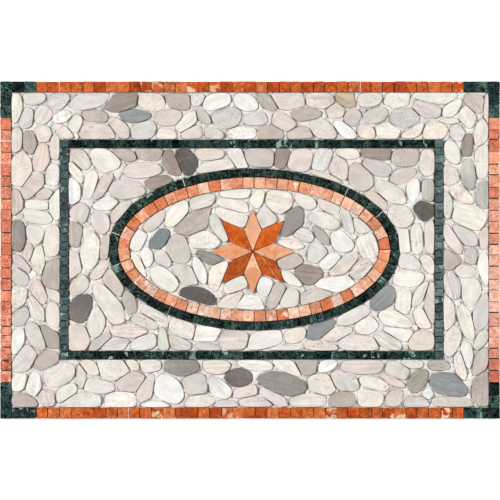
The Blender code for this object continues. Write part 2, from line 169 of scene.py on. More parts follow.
# The few dark stones: each colour, as seen, and the places whose nearest stone takes it
DARK_STONES = {
    "charcoal": ((94, 90, 87), ((-0.099, 0.166), (0.317, 0.072), (-0.070, -0.090))),
    "umber": ((118, 111, 107), ((-0.306, -0.117), (-0.014, -0.238))),
    "brown_grey": (
        (158, 145, 137),
        ((-0.149, 0.169), (0.058, 0.166), (0.241, 0.167), (-0.229, 0.248), (-0.167, 0.133),
         (0.392, 0.178), (0.094, -0.050)),
    ),
    "dove_grey": (
        (186, 176, 168),
        ((0.414, -0.256), (0.335, -0.212), (-0.356, -0.022), (-0.400, -0.265), (-0.103, 0.040)),
    ),
    "blue_grey": ((145, 147, 148), ((-0.191, 0.248), (0.141, -0.146), (0.250, -0.079), (0.360, -0.234))),
    "teal_grey": ((126, 136, 135), ((-0.160, 0.027),)),
    "mid_grey": (
        (150, 144, 139),
        ((0.076, 0.067), (-0.068, -0.022), (-0.137, -0.214), (0.045, -0.243), (-0.412, 0.041)),
    ),
    "green_grey": ((189, 188, 180), ((0.385, 0.140), (0.416, 0.076), (0.324, 0.121), (-0.230, -0.085))),
    "khaki": ((196, 178, 153), ((0.191, 0.266),)),
}

# Tile colours, as seen, for each course
RUST_TILES = ((203, 104, 50), (196, 95, 40), (189, 86, 34), (176, 75, 28), (210, 117, 66), (200, 98, 43))
CORAL_TILES = ((240, 154, 124), (234, 145, 113), (228, 138, 106), (247, 168, 140), (217, 127, 97))
PINK_TILES = ((231, 150, 118), (225, 139, 106), (220, 131, 98), (207, 118, 87), (236, 165, 136))
OVAL_TILES = (
    (232, 179, 151), (228, 163, 128), (239, 201, 180), (222, 147, 111), (217, 123, 79), (236, 187, 159),
)
BLACK_GREEN_TILES = ((17, 30, 29), (10, 21, 20), (25, 41, 38), (7, 13, 14), (21, 36, 33))
SLATE_TILES = ((66, 80, 82), (78, 94, 95), (56, 70, 72), (96, 113, 112), (62, 81, 80))
GREY_GREEN_TILES = ((72, 86, 85), (82, 98, 97), (60, 74, 73), (100, 116, 114), (68, 85, 82))
OVAL_GREEN_TILES = ((24, 34, 32), (16, 25, 24), (35, 47, 43), (11, 16, 16), (30, 42, 38))
CORNER_GREEN_TILES = ((46, 64, 58), (32, 42, 45), (20, 24, 28), (40, 54, 55), (28, 38, 41))
PALEST_PINK = (246, 216, 203)


# Places taken from the CAD nodes

def flat_box(node):
    """Lowest and highest X and Y of a CAD node."""
    low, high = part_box(node)
    return np.array(low)[:2], np.array(high)[:2]


def star_centre():
    """The middle of the box round the star's upright points."""
    low, high = np.array([flat_box(f"star_point_{k}") for k in (1, 3, 5, 7)]).transpose(1, 0, 2)
    return (low.min(axis=0) + high.max(axis=0)) / 2


def oval_of():
    """Centre and outer half axes of the oval, from its green course."""
    boxes = np.array([flat_box(f"oval_green_{quarter}") for quarter in range(1, 5)])
    low, high = boxes[:, 0].min(axis=0), boxes[:, 1].max(axis=0)
    return (low + high) / 2, (high - low) / 2


# Outlines

def turned(points, angle):
    """Plane vectors turned by an angle: x cos - y sin, x sin + y cos, for matching arrays of angles."""
    cosine, sine = np.cos(angle), np.sin(angle)
    x, y = points[..., 0], points[..., 1]
    return np.stack([x * cosine - y * sine, x * sine + y * cosine], axis=-1)


def unit(vectors):
    """Vectors divided by their lengths."""
    return vectors / np.linalg.norm(vectors, axis=-1)[..., None]


def cad_outlines(node):
    """Corners of the flat tops of a CAD node's stones, anticlockwise, one array for each stone.

    The node's triangles that lie in the face are grouped by their shared corners: every corner takes the
    lowest label among its neighbours until nothing changes. A group's corners are ordered by their angle
    about its middle, which is right for convex tops.
    """
    mesh = NODES[node].data
    mesh.calc_loop_triangles()
    triangles = np.empty(len(mesh.loop_triangles) * 3, np.int32)
    mesh.loop_triangles.foreach_get("vertices", triangles)
    places = np.empty(len(mesh.vertices) * 3)
    mesh.vertices.foreach_get("co", places)
    places = places.reshape(-1, 3)
    triangles = triangles.reshape(-1, 3)
    triangles = triangles[(places[triangles, 2] > FACE - HAIR).all(axis=1)]
    spots, weld = np.unique(np.round(places[:, :2] * 1e6).astype(np.int64), axis=0, return_inverse=True)
    triangles = weld.reshape(-1)[triangles]
    label = np.arange(len(spots))
    while True:
        lowest = label[triangles].min(axis=1)
        changed = label.copy()
        np.minimum.at(changed, triangles, lowest[:, None])
        if (changed == label).all():
            break
        label = changed
    outlines = []
    used = np.unique(triangles)
    for group in np.unique(label[used]):
        corners = spots[used[label[used] == group]] * 1e-6
        offset = corners - corners.mean(axis=0)
        outlines.append(corners[np.argsort(np.arctan2(offset[:, 1], offset[:, 0]))])
    return outlines


def middle_and_lie(corners):
    """A polygon's area centre, the angle of its long axis, and its ellipse's half axes along and across.

    The ellipse has the polygon's own spread: each half axis is twice the square root of the second
    moment per area, which is summed over the wedges between the middle and the sides.
    """
    after = np.roll(corners, -1, axis=0)
    wedge = corners[:, 0] * after[:, 1] - corners[:, 1] * after[:, 0]
    middle = ((corners + after) * wedge[:, None]).sum(axis=0) / (3 * wedge.sum())
    near, far = corners - middle, after - middle
    moment = sum(np.einsum("k,ka,kb->ab", wedge, v, v) for v in (near, far, near + far))
    variance, axes = np.linalg.eigh(moment / (12 * wedge.sum()))
    lie = math.atan2(axes[1, 1], axes[0, 1])
    return middle, lie, 2 * np.sqrt(variance[::-1])


def pebble_outlines(polygons, random, points=24, swell=0.0006):
    """Rounded outlines (stone, point, 2) from convex polygons, with each stone's middle and lie.

    A stone's reach in a direction u is (sum over its sides of (n.u / d)^p + (1 / e)^p)^(-1/p), where n is
    a side's outward normal, d its distance from the middle, e the reach of a blunt oval about the stone
    and p the stone's own sharpness. The oval takes off long corners; its points are half axis times
    |cosine or sine|^(2 / bluntness), with the sign kept. A low p gives a round stone. Nearly one in five is
    broken, with straight sides from a high p and a wider oval. Slow waves round the stone make it uneven.
    Sides that a stone lacks are put far off.
    """
    count = len(polygons)
    most = max(len(corners) for corners in polygons)
    normals = np.zeros((count, most, 2))
    distances = np.full((count, most), 1e3)
    normals[:, :, 0] = 1.0
    middles = np.empty((count, 2))
    lies = np.empty(count)
    halves = np.empty((count, 2))
    for k, corners in enumerate(polygons):
        middles[k], lies[k], halves[k] = middle_and_lie(corners)
        edge = np.roll(corners, -1, axis=0) - corners
        normal = unit(np.stack([edge[:, 1], -edge[:, 0]], axis=1))
        normals[k, : len(corners)] = normal
        distances[k, : len(corners)] = ((corners - middles[k]) * normal).sum(axis=1) + swell
    around = TAU * np.arange(points) / points
    circle = np.stack([np.cos(around), np.sin(around)], axis=1)
    trims = np.stack([random.uniform(0.97, 1.07, count), random.uniform(1.05, 1.20, count)], axis=1)
    oval = (np.sign(circle) * np.abs(circle) ** (2 / BLUNTNESS))[None] * (halves * trims)[:, None]
    oval_reach = np.linalg.norm(oval, axis=2)
    direction = turned(oval, lies[:, None]) / oval_reach[..., None]
    sharpness = np.exp(random.normal(2.2, 0.28, count)).clip(5.0, 14.0)
    broken = random.random(count) < 0.18
    sharpness = np.where(broken, random.uniform(12.0, 26.0, count), sharpness)[:, None]
    allowed = oval_reach * np.where(broken, 1.3, 1.0)[:, None]
    pull = np.einsum("nka,npa->npk", normals, direction) / distances[:, None]
    sides = (np.maximum(pull, 0.0) ** sharpness[..., None]).sum(axis=2)
    reach = (sides + allowed ** -sharpness) ** (-1 / sharpness)
    for turn in (2, 3, 5):
        phase = random.uniform(0.0, TAU, (count, 1))
        reach *= 1 + random.uniform(0.0, 0.02, (count, 1)) / turn * np.cos(turn * around + phase)
    return middles[:, None] + direction * reach[..., None], middles, lies


def cut_outlines(corners, random, rounding, wobble=0.00018):
    """Outlines (tile, 16, 2) of split tiles from their corners (tile, 4, 2).

    Each corner becomes three points: one a rounding's length before it, one drawn in by 0.29 of that length
    along both sides, as on a quarter circle, and one a rounding's length after it. The middle of each side
    is moved in or out a little.
    """
    before = np.roll(corners, 1, axis=1) - corners
    after = np.roll(corners, -1, axis=1) - corners
    to_before, to_after = unit(before), unit(after)
    size = rounding * np.exp(random.normal(0.0, 0.5, corners.shape[:2]))[..., None]
    bend = corners + (to_before + to_after) * size * 0.29
    outward = np.stack([to_after[..., 1], -to_after[..., 0]], axis=2)
    side = corners + after / 2 + outward * random.normal(0.0, wobble, corners.shape[:2])[..., None]
    ring = np.stack([corners + to_before * size, bend, corners + to_after * size, side], axis=2)
    return ring.reshape(len(corners), 16, 2)


def inward(outlines):
    """Unit vectors square to each outline and into it, from the chord between a point's neighbours."""
    chord = np.roll(outlines, -1, axis=1) - np.roll(outlines, 1, axis=1)
    return unit(np.stack([-chord[..., 1], chord[..., 0]], axis=2))


# Meshes

def ring_places(outlines, rings):
    """Points (solid, ring, point, 3) of solids that are stacks of rings.

    Each ring is the solid's outline drawn inwards by an inset, at a height; both may vary by solid and by
    point.
    """
    square = inward(outlines)
    layers = []
    for inset, height in rings:
        inset, height = (np.broadcast_to(value, outlines.shape[:2])[..., None] for value in (inset, height))
        layers.append(np.concatenate([outlines + square * inset, height], axis=2))
    return np.stack(layers, axis=1)


def ring_faces(places):
    """Faces of such solids, and how many of them are sides: bands of quads join one ring to the next, and
    one flat face closes each end."""
    index = np.arange(places[..., 0].size).reshape(places.shape[:3])
    after = np.roll(index, -1, axis=2)
    quads = np.stack([index[:, :-1], after[:, :-1], after[:, 1:], index[:, 1:]], axis=3).reshape(-1, 4)
    return quads.tolist() + index[:, -1].tolist() + index[:, 0, ::-1].tolist(), len(quads)


def sheet(x, y, low, high):
    """Points and faces of a closed sheet: two height fields on the same grid, joined along their rims."""
    columns, rows = len(x), len(y)
    grid = np.stack(np.meshgrid(x, y), axis=2)
    top = np.dstack([grid, high])
    bottom = np.dstack([grid, low])
    index = np.arange(rows * columns).reshape(rows, columns)
    up = np.stack([index[:-1, :-1], index[:-1, 1:], index[1:, 1:], index[1:, :-1]], axis=2).reshape(-1, 4)
    down = up[:, ::-1] + rows * columns
    rim = np.concatenate([index[0, :-1], index[:-1, -1], index[-1, :0:-1], index[:0:-1, 0]])
    after = np.roll(rim, -1)
    side = np.stack([rim + rows * columns, after + rows * columns, after, rim], axis=1)
    places = np.concatenate([top.reshape(-1, 3), bottom.reshape(-1, 3)])
    return places, np.concatenate([up, down, side]).tolist()


def new_object(name, data):
    """A new object in the scene, at the origin."""
    made = bpy.data.objects.new(name, data)
    bpy.context.scene.collection.objects.link(made)
    return made


def add_piece(name, places, faces, material, slot, nodes, smooth_faces=None, **attributes):
    """A finished piece: its mesh with point attributes, riding on the panel in place of CAD nodes.

    The first smooth_faces of its faces are shaded smooth, or all where no number is given.
    """
    mesh = bpy.data.meshes.new(name)
    mesh.from_pydata(places.reshape(-1, 3).tolist(), [], faces)
    smooth = np.zeros(len(faces), bool)
    smooth[:smooth_faces] = True
    mesh.polygons.foreach_set("use_smooth", smooth)
    for key, values in attributes.items():
        layer = mesh.attributes.new(key, "FLOAT_VECTOR", "POINT")
        layer.data.foreach_set("vector", np.ascontiguousarray(values, np.float32).reshape(-1))
    mesh.materials.append(material)
    piece = new_object(name, mesh)
    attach(piece, "root")
    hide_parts(*nodes)


def add_solids(name, places, material, slot, nodes, **attributes):
    """A piece of stacked rings, its sides smooth and its ends flat."""
    faces, sides = ring_faces(places)
    add_piece(name, places, faces, material, slot, nodes, sides, **attributes)


def rocking_tops(outlines, middles, random, slope, least, most):
    """Heights of tops that each tilt a little and stay under the face.

    A height is the face less the top's drop, plus its slope times the offset from its middle. The drop is
    the slope times the solid's reach, and between least and most more.
    """
    offset = outlines - middles[:, None]
    slopes = random.normal(0.0, slope, (len(outlines), 2))
    drop = np.linalg.norm(slopes, axis=1) * np.linalg.norm(offset, axis=2).max(axis=1)
    drop += random.uniform(least, most, len(outlines))
    return FACE - drop[:, None] + (offset * slopes[:, None]).sum(axis=2)


def grain_of(places, middles, lies, random):
    """Each solid's own coordinates: x along its lie, from its middle, moved to a place of its own.

    The move keeps the patterns of neighbours apart, so no vein runs on from one stone into the next.
    """
    flat = turned(places[..., :2] - middles[:, None, None], -lies[:, None, None])
    own = np.concatenate([flat, places[..., 2:]], axis=3)
    return own + random.uniform(-5.0, 5.0, (len(middles), 1, 1, 3))


def slanted(colours, places, middles, random, most):
    """Each solid's colour at its points, growing evenly lighter across it in a direction of its own."""
    offset = places[..., :2] - middles[:, None, None]
    size = np.linalg.norm(offset, axis=3).max(axis=(1, 2))
    way = turned(np.array([1.0, 0.0]), random.uniform(0.0, TAU, len(middles)))
    way *= (random.uniform(0.0, most, len(middles)) / size)[:, None]
    return spread(colours, places) * (1 + (offset * way[:, None, None]).sum(axis=3))[..., None]


def spread(values, places):
    """One value for each solid, given to all its points."""
    return np.broadcast_to(values[:, None, None], (*places.shape[:3], values.shape[-1]))


def varied(colours, random, light, hue):
    """Colours that each differ a little in lightness and between warm and cool."""
    count = len(colours)
    value = 1 + random.normal(0.0, light, (count, 1))
    warm = random.normal(0.0, hue, (count, 1)) * np.array([1.0, 0.1, -1.0])
    return np.clip(colours * value * (1 + warm), 0.0, 0.95)


# Materials

def new_node(tree, kind, inputs, **settings):
    """A new node: sockets among the inputs are linked to it, other values set on it."""
    node = tree.nodes.new(kind)
    for key, value in settings.items():
        setattr(node, key, value)
    for key, value in inputs.items():
        if isinstance(value, bpy.types.NodeSocket):
            tree.links.new(value, node.inputs[key])
        else:
            node.inputs[key].default_value = value
    return node


class Finish:
    """A stone's finish: a Principled shader, and short names for the nodes that lead to it."""

    def __init__(self, name, roughness, specular=0.5):
        self.material = bpy.data.materials.new(name)
        self.material.use_nodes = True
        self.tree = self.material.node_tree
        self.shader = self.tree.nodes["Principled BSDF"]
        self.shader.inputs["Roughness"].default_value = roughness
        self.shader.inputs["Specular IOR Level"].default_value = specular

    def node(self, kind, inputs, **settings):
        """A new node of this finish."""
        return new_node(self.tree, kind, inputs, **settings)

    def attribute(self, name):
        """A vector that the mesh carries at its points."""
        return self.node("ShaderNodeAttribute", {}, attribute_name=name).outputs["Vector"]

    def place(self):
        """The place on the panel."""
        return self.node("ShaderNodeTexCoord", {}).outputs["Object"]

    def vectors(self, operation, first, second):
        """What one operation on two vectors gives: a vector, the first output, or a number, its "Value"."""
        return self.node("ShaderNodeVectorMath", {0: first, 1: second}, operation=operation).outputs

    def scaled(self, vector, by):
        """A vector or colour multiplied by another, part by part."""
        return self.vectors("MULTIPLY", vector, by)[0]

    def noise(self, vector, per_metre, detail=2.0, rough=0.5, distortion=0.0):
        """Clouds, with this many to a metre along each axis."""
        if not np.isscalar(per_metre):
            vector = self.scaled(vector, per_metre)
            per_metre = 1.0
        inputs = dict(Vector=vector, Scale=per_metre, Detail=detail, Roughness=rough, Distortion=distortion)
        return self.node("ShaderNodeTexNoise", inputs).outputs["Fac"]

    def math(self, operation, *values):
        """The result of one operation on numbers."""
        return self.node("ShaderNodeMath", dict(enumerate(values)), operation=operation).outputs[0]

    def times(self, first, second):
        """Two numbers multiplied."""
        return self.math("MULTIPLY", first, second)

    def total(self, first, *more):
        """Numbers added up."""
        for value in more:
            first = self.math("ADD", first, value)
        return first

    def swing(self, cloud, amount):
        """How far a cloud is from its middle, times an amount."""
        return self.times(self.math("SUBTRACT", cloud, 0.5), amount)

    def ranged(self, value, low, high, to_low=0.0, to_high=1.0):
        """The value's range from low to high, taken smoothly to another."""
        inputs = {"Value": value, "From Min": low, "From Max": high, "To Min": to_low, "To Max": to_high}
        return self.node("ShaderNodeMapRange", inputs, interpolation_type="SMOOTHSTEP").outputs["Result"]

    def line(self, cloud, width, middle=0.5):
        """1 on the thin lines where a cloud crosses its middle, 0 from this width away."""
        away = self.math("ABSOLUTE", self.math("SUBTRACT", cloud, middle))
        return self.ranged(away, 0.0, width, 1.0, 0.0)

    def sideways(self):
        """0 on faces that look up, 1 on the sides of a stone; the finishes darken the sides by it as
        painted shade.
        """
        normal = self.node("ShaderNodeNewGeometry", {}).outputs["Normal"]
        return self.ranged(self.parts(normal)[2], 0.25, 0.85, 1.0, 0.0)

    def parts(self, vector):
        """A vector's three parts."""
        return self.node("ShaderNodeSeparateXYZ", {"Vector": vector}).outputs

    def mix(self, share, first, second):
        """The first colour where the share is 0, the second where it is 1."""
        colours = [c if isinstance(c, bpy.types.NodeSocket) else (*c, 1.0) for c in (first, second)]
        inputs = {0: share, 6: colours[0], 7: colours[1]}
        return self.node("ShaderNodeMix", inputs, data_type="RGBA").outputs[2]

    def multiplied_where(self, colour, share, factor):
        """A colour, multiplied by a factor where the share is 1: a tint, and on the sides also painted
        shade.
        """
        return self.mix(share, colour, self.scaled(colour, factor))

    def brightened(self, colour, value):
        """A colour times a number."""
        inputs = {0: colour, "Scale": value}
        return self.node("ShaderNodeVectorMath", inputs, operation="SCALE").outputs[0]

    def bump(self, height, depth):
        """Relief this deep where the height goes from 0 to 1."""
        inputs = {"Height": height, "Distance": depth, "Strength": 1.0}
        return self.node("ShaderNodeBump", inputs).outputs[0]

    def done(self, colour, roughness, normal):
        """The finished material."""
        self.tree.links.new(colour, self.shader.inputs["Base Color"])
        self.tree.links.new(roughness, self.shader.inputs["Roughness"])
        self.tree.links.new(normal, self.shader.inputs["Normal"])
        return self.material


def river_pebble():
    """Pale honed sediment stone: clouds, fine grain along the stone, and rust spots and veins on some.

    A stone's traits are its banding, its rust and its veining. How coarse its mottling is and how far it
    blushes come from clouds about a metre wide, which are even over one stone and differ between stones.
    """
    finish = Finish("river_pebble", 0.6, 0.25)
    grain = finish.attribute("grain")
    banding, rusting, veining = finish.parts(finish.attribute("traits"))
    coarse = finish.ranged(finish.noise(grain, 1.3, 0), 0.42, 0.60, 0.20, 1.35)
    blushing = finish.ranged(finish.noise(grain, 1.9, 0), 0.45, 0.62, 0.25, 1.0)
    clouds = finish.noise(grain, (36, 62, 50), 3, 0.6, 0.6)
    bands = finish.noise(grain, (11, 230, 110), 3, 0.62, 0.5)
    specks = finish.noise(grain, 1100, 2, 0.7)
    mottle = finish.swing(finish.noise(grain, 400, 4, 0.75), coarse)
    light = finish.ranged(clouds, 0.3, 0.7, 0.86, 1.04)
    light = finish.total(light, finish.swing(specks, 0.20), finish.swing(bands, banding), mottle)
    tone = finish.brightened(finish.attribute("tone"), light)
    warmth = finish.ranged(finish.noise(grain, (46, 70, 60), 3, 0.6, 0.5), 0.46, 0.66)
    colour = finish.multiplied_where(tone, finish.times(warmth, blushing), (1.01, 0.935, 0.86))
    rust = finish.ranged(finish.noise(grain, (90, 170, 120), 3, 0.6, 0.4), 0.58, 0.68)
    colour = finish.mix(finish.times(rust, rusting), colour, linear(203, 148, 106))
    vein = finish.line(finish.noise(grain, (44, 12, 20), 3, 0.5, 0.6), 0.024)
    colour = finish.mix(finish.times(vein, veining), colour, linear(196, 166, 150))
    pits = finish.ranged(finish.noise(grain, 560, 2, 0.6), 0.62, 0.72, 0.0, 0.4)
    colour = finish.multiplied_where(colour, finish.times(pits, coarse), (0.62, 0.58, 0.54))
    # Painted shade: the stone's sides are darkened, standing in for the shadow in the gaps between stones.
    colour = finish.multiplied_where(colour, finish.sideways(), (0.87, 0.83, 0.78))
    roughness = finish.ranged(specks, 0.2, 0.8, 0.48, 0.72)
    relief = finish.total(finish.times(clouds, 3.0), specks, mottle)
    return finish.done(colour, roughness, finish.bump(relief, 0.0002))


def marble(name, shade, vein, pale, pale_from, vein_width, roughness, dim, rise, specular=0.3, mark=None):
    """Honed marble: cloudy patches that turn to a shade, thin veins, and pale blotches on some tiles.

    vein and pale are colours as seen. The clouds scale the tile's colour from dim to rise, and wider ones
    multiply it by shade in patches. The blotches lie where a cloud is over pale_from. A tile's traits are
    its veining, its paleness and its cloudiness, from 0 to about 1. mark gives a single tile's own marking
    in place of the blotches.
    """
    finish = Finish(name, roughness, specular)
    grain = finish.attribute("grain")
    veining, paleness, cloudiness = finish.parts(finish.attribute("traits"))
    clouds = finish.noise(grain, 135, 6, 0.66, 0.9)
    specks = finish.noise(grain, 480, 5, 0.72)
    light = finish.total(finish.ranged(clouds, 0.36, 0.66, dim, rise), finish.swing(specks, 0.42))
    colour = finish.brightened(finish.attribute("tone"), light)
    shaded = finish.ranged(finish.noise(grain, 78, 4, 0.62, 0.6), 0.46, 0.60)
    colour = finish.multiplied_where(colour, finish.times(shaded, cloudiness), shade)
    if mark:
        blotch = mark(finish)
    else:
        blotch = finish.ranged(finish.noise(grain, 74, 3, 0.5, 0.5), pale_from, pale_from + 0.05)
    colour = finish.mix(finish.times(blotch, paleness), colour, linear(*pale))
    crack = finish.line(finish.noise(grain, 84, 3, 0.55, 1.1), vein_width)
    fine = finish.line(finish.noise(grain, 190, 2, 0.5, 0.8), vein_width * 1.6)
    veins = finish.times(finish.total(crack, finish.times(fine, 0.3)), veining)
    veins = finish.math("MINIMUM", veins, 1.0)
    colour = finish.mix(veins, colour, linear(*vein))
    # Dirt and painted shade: the tile's sides are darkened so that the joints between tiles read dark.
    colour = finish.multiplied_where(colour, finish.sideways(), (0.62, 0.58, 0.55))
    honing = finish.ranged(specks, 0.2, 0.8, roughness - 0.08, roughness + 0.12)
    relief = finish.total(specks, clouds, finish.times(veins, -2.0))
    return finish.done(colour, honing, finish.bump(relief, 0.0001))


def arched_band(finish):
    """The lower star point's mark, from 0 to 1: an arch about a circle in the point's middle.

    It is brightest along the circle, mottled from there towards the star's centre, and plain inside the
    circle and below it.
    """
    x, y = star_centre() - (0.0, ARCH_DROP)
    place = finish.place()
    away = finish.vectors("DISTANCE", place, (x, y, FACE))["Value"]
    rim = finish.line(away, 0.0016, ARCH_RADIUS)
    outside = finish.ranged(away, ARCH_RADIUS - 0.001, ARCH_RADIUS + 0.001)
    mottle = finish.ranged(finish.noise(place, 260, 3, 0.6, 0.6), 0.40, 0.54, 0.1, 0.9)
    above = finish.ranged(finish.parts(place)[1], y, y + 0.008)
    return finish.times(finish.math("MAXIMUM", finish.times(outside, mottle), rim), above)


def straight_seam(finish):
    """The lower right star point's mark: one thin straight vein that runs out towards its tip.

    It lies where the distance from the star's centre, square to the seam, is the seam's own, and wanders
    a little.
    """
    place = finish.place()
    across = finish.vectors("DOT_PRODUCT", place, (*SEAM_SQUARE, 0.0))["Value"]
    wander = finish.times(finish.noise(place, 160, 3), SEAM_WANDER)
    middle = star_centre() @ SEAM_SQUARE + SEAM_OFFSET + SEAM_WANDER / 2
    return finish.line(finish.total(across, wander), 0.0007, middle)


def pale_adhesive():
    """Set tile adhesive: whitish, mottled and rough, and darkened at the bottom of the tile joints as soil
    and painted shade.
    """
    finish = Finish("pale_adhesive", 0.85, 0.2)
    place = finish.place()
    mottle = finish.noise(place, 70, 4, 0.6)
    crumbs = finish.noise(place, 650, 3, 0.7)
    stain = finish.ranged(finish.noise(place, 28, 3, 0.6), 0.5, 0.72, 0.0, 0.6)
    colour = finish.mix(mottle, linear(216, 211, 202), linear(255, 254, 252))
    colour = finish.mix(stain, colour, linear(196, 186, 173))
    colour = finish.brightened(colour, finish.ranged(crumbs, 0.3, 0.7, 0.84, 1.07))
    # Soil and painted shade: the adhesive low in the joints under the courses is darkened to deep brown.
    low = finish.ranged(finish.parts(place)[2], BED, BED + 0.0015, 1.0, 0.0)
    soil = finish.times(finish.parts(finish.attribute("soil"))[0], low)
    colour = finish.mix(soil, colour, linear(58, 48, 42))
    roughness = finish.ranged(mottle, 0.3, 0.7, 0.78, 0.92)
    return finish.done(colour, roughness, finish.bump(crumbs, 0.0008))


def glass_net():
    """Glass-fibre strands stiffened with adhesive: off-white, with fine fibres along each strand."""
    finish = Finish("glass_net", 0.5, 0.5)
    grain = finish.attribute("grain")
    fibres = finish.noise(grain, (60, 5200, 5200), 2, 0.6)
    soaked = finish.noise(grain, (90, 90, 90), 3)
    colour = finish.mix(fibres, linear(214, 214, 204), linear(249, 249, 243))
    colour = finish.mix(finish.ranged(soaked, 0.5, 0.65, 0.0, 0.7), colour, linear(222, 216, 205))
    roughness = finish.ranged(soaked, 0.4, 0.6, 0.42, 0.75)
    return finish.done(colour, roughness, finish.bump(fibres, 0.00012))


# Pebbles

def pebble_colours():
    """The pebble tones as the stone's own colours (tone, 3), in the table's order."""
    return np.array([linear(*seen) for seen, _ in PEBBLE_TONES.values()])


def pebble_traits(count, random):
    """Banding, rust and veining: most stones have a little banding, and few have rust or veins."""
    banding = random.uniform(0.08, 0.45, count) + (random.random(count) < 0.2) * 0.6
    rust = np.where(random.random(count) < 0.14, random.uniform(0.3, 0.9, count), 0.0)
    veins = np.where(random.random(count) < 0.16, random.uniform(0.2, 0.7, count), 0.0)
    return np.stack([banding, rust, veins], axis=1)


def add_pebbles(fields, finish):
    """Every pebble field, with the stones' colours shared out over the whole panel.

    A stone is four rings: a narrower underside, its widest line at half height, the foot of a rounded
    shoulder, and the flat top.
    """
    random = np.random.default_rng(31)
    polygons = [cad_outlines(node) for node in fields]
    counts = [len(group) for group in polygons]
    outlines, middles, lies = pebble_outlines([corners for group in polygons for corners in group], random)
    count = len(outlines)
    shares = np.array([share for _, share in PEBBLE_TONES.values()])
    picked = random.choice(len(shares), count, p=shares / shares.sum())
    colours = varied(pebble_colours()[picked], random, 0.03, 0.012)
    paler = np.repeat([PALER_FIELDS.get(node, 0.0) for node in fields], counts)
    colours = np.clip(colours + (linear(*PALEST_STONE) - colours) * paler[:, None], 0.0, 0.95)
    traits = pebble_traits(count, random)
    shading = np.full(count, 0.05)
    for seen, spots in DARK_STONES.values():
        for spot in spots:
            nearest = np.linalg.norm(middles - spot, axis=1).argmin()
            colours[nearest] = linear(*seen)
            traits[nearest] = (0.8, 0.0, 0.12)
            shading[nearest] = 0.20
    top = rocking_tops(outlines, middles, random, 0.006, 0.00005, 0.0006)
    bulge = random.uniform(0.0, 0.0005, (count, 1))
    under = random.uniform(0.0014, 0.0034, (count, 1))
    shoulder = random.uniform(0.0006, 0.0014, (count, 1))
    places = ring_places(outlines, (
        (under, BED + STONE_FOOT),
        (0.0, BED + 0.0052),
        (bulge * 0.3 + 0.0001, top - shoulder),
        (bulge + shoulder * 0.85, top),
    ))
    grain = grain_of(places, middles, lies, random)
    tone = slanted(colours, places, middles, random, shading)
    traits = spread(traits, places)
    for node, end, size in zip(fields, np.cumsum(counts), counts):
        own = slice(end - size, end)
        add_solids(
            node + "_stones", places[own], finish, "pebble", [node],
            grain=grain[own], tone=tone[own], traits=traits[own],
        )
    return outlines, middles


def window(x, y, place, reach):
    """The grid's rows and columns within reach of a place, and the offsets from it there."""
    columns = slice(*np.searchsorted(x, (place[0] - reach, place[0] + reach)))
    rows = slice(*np.searchsorted(y, (place[1] - reach, place[1] + reach)))
    return (rows, columns), np.meshgrid(x[columns] - place[0], y[rows] - place[1])


def room_left(outlines, middles, x, y):
    """How far each grid point is from the nearest stone or course.

    From a stone that is the distance to its middle less its reach in that direction, which is read off
    the outline. Only grid points near the stone are worked out.
    """
    room = course_distance(*np.meshgrid(x, y))
    for outline, middle in zip(outlines, middles):
        offset = outline - middle
        reach = np.linalg.norm(offset, axis=1)
        angle = np.arctan2(offset[:, 1], offset[:, 0])
        near, (across, up) = window(x, y, middle, reach.max() + CHIP_REACH)
        allowed = np.interp(np.arctan2(up, across), angle, reach, period=TAU)
        room[near] = np.minimum(room[near], np.hypot(across, up) - allowed)
    return room


def add_chips(outlines, middles, finish):
    """Small splinters pressed into the widest gaps, the widest first, until only narrow ones are left.

    A splinter's four corners lie about a quarter turn apart, at 0.95 to 1.3 times its half size, and its
    top slants.
    """
    random = np.random.default_rng(33)
    x, y = (np.arange(PANEL_LOW[axis], PANEL_HIGH[axis], CHIP_GRID) for axis in (0, 1))
    room = room_left(outlines, middles, x, y)
    spots, sizes = [], []
    while room.max() > LEAST_CHIP:
        row, column = np.unravel_index(room.argmax(), room.shape)
        spots.append((x[column], y[row]))
        sizes.append(min(room[row, column], MOST_CHIP))
        near, offset = window(x, y, spots[-1], CHIP_REACH)
        room[near] = np.minimum(room[near], np.hypot(*offset) - sizes[-1])
    count = len(spots)
    around = TAU * (np.arange(4) + random.uniform(-0.3, 0.3, (count, 4))) / 4
    around += random.uniform(0.0, TAU, (count, 1))
    reach = np.array(sizes)[:, None] * random.uniform(0.95, 1.3, (count, 4))
    corners = np.stack([np.cos(around), np.sin(around)], axis=2) * reach[..., None]
    splinters = list(np.array(spots)[:, None] + corners)
    outlines, middles, _ = pebble_outlines(splinters, random, points=12, swell=0.0)
    slant = (outlines - middles[:, None]) @ np.array([0.06, 0.04])
    top = FACE - random.uniform(0.0007, 0.0018, (count, 1)) + slant
    places = ring_places(outlines, ((0.0003, BED + STONE_FOOT), (0.0, top - 0.0007), (0.0006, top)))
    colours = varied(pebble_colours()[random.integers(0, PALE_TONES, count)], random, 0.04, 0.015)
    lies = random.uniform(0.0, TAU, count)
    add_solids(
        "filler_chips", places, finish, "pebble", [],
        grain=grain_of(places, middles, lies, random), tone=spread(colours, places),
        traits=spread(pebble_traits(count, random), places),
    )


# Tiles

def tile_traits(count, random, vein, pale, cloud):
    """Veining, paleness and cloudiness, each up to the course's own most, pale blotches on few tiles."""
    return np.stack([
        random.uniform(0.15, 1.0, count) * vein,
        np.where(random.random(count) < pale, random.uniform(0.5, 1.0, count), 0.0),
        random.uniform(0.2, 1.0, count) * cloud,
    ], axis=1)


